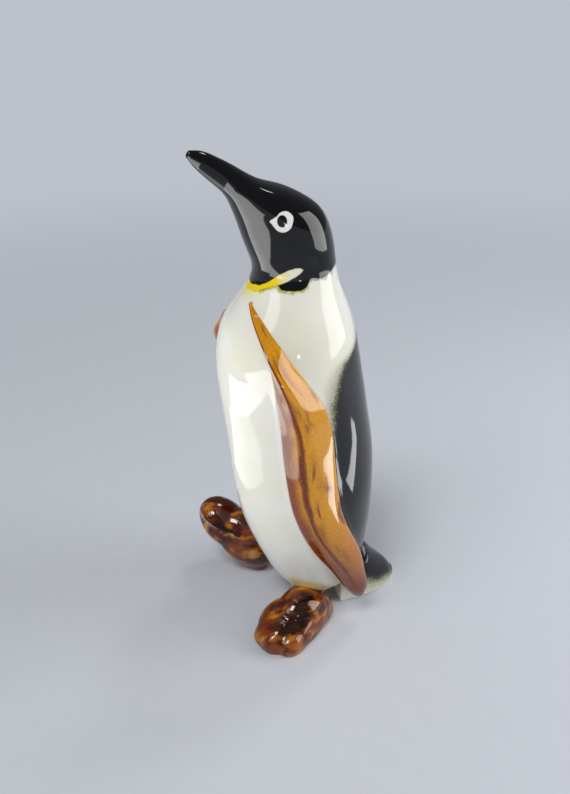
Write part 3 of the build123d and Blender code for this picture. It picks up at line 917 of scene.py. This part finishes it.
# %% The slip
GRIT = 0.3  # in millimetres
slip, tree = material("unglazed_earthenware_slip")
where = add(tree, "ShaderNodeTexCoord")["Object"]
grit = add(tree, "ShaderNodeTexNoise",
           {"Vector": where, "Scale": 1 / (GRIT * MM), "Detail": 3.0})["Fac"]
colour = add(tree, "ShaderNodeMix", {0: grit, 6: linear("#d3c6ab"), 7: linear("#e8dfcc")},
             data_type="RGBA")[2]
shader = add(tree, "ShaderNodeBsdfPrincipled", {"Base Color": colour, "Roughness": 0.85})[0]
add(tree, "ShaderNodeOutputMaterial", {"Surface": shader})
films = [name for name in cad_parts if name.endswith("_slip")]
for name in films:
    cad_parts[name].data.materials.clear()
    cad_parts[name].data.materials.append(slip)
print("films of slip:", films)

# %% [markdown]
# ## The studio
#
# The floor is a sheet of pale matt paper. Near the bird it is lit by the lamps and takes the shadow.
# Further off it fades to one even tone, for the camera and for what the glaze mirrors alike.

# %% The paper
FIBRE, FADE_FROM, FADE_TO, HALF_SHEET = 3, 80, 340, 6000  # in millimetres
paper, tree = material("matt_paper")
where = add(tree, "ShaderNodeTexCoord")["Object"]
fibre = add(tree, "ShaderNodeTexNoise",
            {"Vector": where, "Scale": 1 / (FIBRE * MM), "Detail": 3.0})["Fac"]
colour = add(tree, "ShaderNodeMix", {0: fibre, 6: linear("#cfd3db"), 7: linear("#d3d7de")},
             data_type="RGBA")[2]
lit = add(tree, "ShaderNodeBsdfPrincipled",
          {"Base Color": colour, "Roughness": 0.9, "Specular IOR Level": 0.1})[0]
even = add(tree, "ShaderNodeEmission", {"Color": linear("#bcc1ca"), "Strength": 1.0})[0]
rays = add(tree, "ShaderNodeLightPath")
seen = rays["Is Camera Ray"]
for name in ("Is Glossy Ray", "Is Transmission Ray"):
    seen = add(tree, "ShaderNodeMath", {0: seen, 1: rays[name]}, operation="MAXIMUM")[0]
reach = add(tree, "ShaderNodeVectorMath", {0: where}, operation="LENGTH")["Value"]
far_off = add(tree, "ShaderNodeMapRange",
              {"Value": reach, "From Min": FADE_FROM * MM, "From Max": FADE_TO * MM},
              interpolation_type="SMOOTHSTEP")[0]
amount = add(tree, "ShaderNodeMath", {0: far_off, 1: seen}, operation="MULTIPLY")[0]
shader = add(tree, "ShaderNodeMixShader", {0: amount, 1: lit, 2: even})[0]
add(tree, "ShaderNodeOutputMaterial", {"Surface": shader})
floor_mesh = bpy.data.meshes.new("paper")
corners = [(x * HALF_SHEET * MM, y * HALF_SHEET * MM, 0) for x, y in square]
floor_mesh.from_pydata(corners, [], [(0, 1, 2, 3)])
floor_mesh.materials.append(paper)
floor = bpy.data.objects.new("paper", floor_mesh)
bpy.context.scene.collection.objects.link(floor)
print("paper:", [round(v, 2) for v in floor.dimensions], "m")

# %% [markdown]
# The camera stands close, at the bird's left and a little in front, and looks down by 27.5 degrees.

# %% The camera
VIEW_TURN, VIEW_PITCH = math.radians(70), math.radians(27.5)
VIEW_PLACE = (36.25, 99.61, 93.9)  # forward, left and up
SENSOR, FOCAL_PIXELS, LONG_SIDE_PIXELS = 36, 800, 794
camera = bpy.data.objects.new("camera", bpy.data.cameras.new("camera"))
bpy.context.scene.collection.objects.link(camera)
bpy.context.scene.camera = camera
camera.data.sensor_width = SENSOR
camera.data.lens = SENSOR * FOCAL_PIXELS / LONG_SIDE_PIXELS
camera.data.clip_start = 5 * MM
camera.location = at(*VIEW_PLACE)
look = Vector(along(-math.cos(VIEW_TURN), -math.sin(VIEW_TURN), 0)) * math.cos(VIEW_PITCH)
look.z = -math.sin(VIEW_PITCH)
camera.rotation_euler = look.to_track_quat("-Z", "Y").to_euler()
print("camera at", [round(v, 3) for v in camera.location])

# %% [markdown]
# Glaze shows each soft light as a pale window with a crisp edge, so the lights are placed where those
# windows fall. Three strips lie low on the paper at the left: they make the long window on the
# cheek and the panes on the belly. A narrow one at the right makes the streak on the black back.
# Places are given as the camera sees them, in millimetres.

# %% Strips of light on the paper
STRIP_HEIGHT = 2
STRIPS = {  # from and to, right and nearer; width; brightness
    "left_strip": ((-79, -20), (-79, 50), 38, 4.0),
    "left_front_strip": ((-94, 50), (-94, 240), 68, 4.4),
    "left_near_strip": ((-46, -28), (-46, 24), 28, 1.7),
    "right_strip": ((50, 14), (100, -10), 12, 5.5)}


def as_seen(right, nearer, up):
    """A place given as the camera sees it, in the row frame."""
    aside = along(-math.sin(VIEW_TURN), math.cos(VIEW_TURN), 0)
    towards = along(math.cos(VIEW_TURN), math.sin(VIEW_TURN), 0)
    return at(0, 0, up) + MM * (right * aside + nearer * towards)


def soft_light(name, place, turn, wide, high, brightness):
    """An even rectangle of light, with its sizes in metres, which the camera doesn't see."""
    lamp = bpy.data.objects.new(name, bpy.data.lights.new(name, "AREA"))
    bpy.context.scene.collection.objects.link(lamp)
    lamp.data.shape = "RECTANGLE"
    lamp.data.size, lamp.data.size_y = wide, high
    lamp.data.energy = brightness * math.pi * wide * high
    lamp.location, lamp.rotation_euler = place, turn
    lamp.visible_camera = False


for name, (start, end, wide, brightness) in STRIPS.items():
    start, end = as_seen(*start, STRIP_HEIGHT), as_seen(*end, STRIP_HEIGHT)
    turn = (math.pi, 0, math.atan2(*(end - start)[1::-1]))
    soft_light(name, (start + end) / 2, turn, np.linalg.norm(end - start), wide * MM, brightness)
print("strips:", sorted(STRIPS))

# %% [markdown]
# An upright box stands at the right and shows on the back of the head and behind the shoulder. One
# stands high at the left, one behind, a very small one in front puts the spark in the eye, and a
# large one far above makes the soft shadow.

# %% Soft boxes
SOFT_BOXES = {  # right, nearer, up; aimed at right, nearer, up; width and height; brightness
    "right_box": ((215, 6, 111), (0, 0, 111), (150, 180), 3.8),
    "high_box": ((-146, 132, 204), (0, 0, 60), (100, 100), 3.0),
    "back_box": ((165, -210, 560), (0, 0, 20), (100, 100), 12.0),
    "front_box": ((43, 130, 54), (0, 0, 60), (10, 8), 13.0),
    "sky_box": ((-560, 1120, 2170), (0, 0, 0), (700, 700), 14.5)}
for name, (place, aim, (wide, high), brightness) in SOFT_BOXES.items():
    stand, target = as_seen(*place), as_seen(*aim)
    turn = Vector(target - stand).to_track_quat("-Z", "Y").to_euler()
    soft_light(name, stand, turn, wide * MM, high * MM, brightness)
print("soft lights:", {lamp.name: round(lamp.energy, 3) for lamp in bpy.data.lights})

# %% [markdown]
# The room adds a weak even light, a little cool.

# %% The room
world = bpy.data.worlds.new("room")
bpy.context.scene.world = world
world.use_nodes = True
world.node_tree.nodes.clear()
sky = add(world.node_tree, "ShaderNodeBackground", {"Color": linear("#eef1f7"), "Strength": 0.2})[0]
add(world.node_tree, "ShaderNodeOutputWorld", {"Surface": sky})
bpy.context.scene.view_settings.view_transform = "Standard"
print("room light:", world.name)
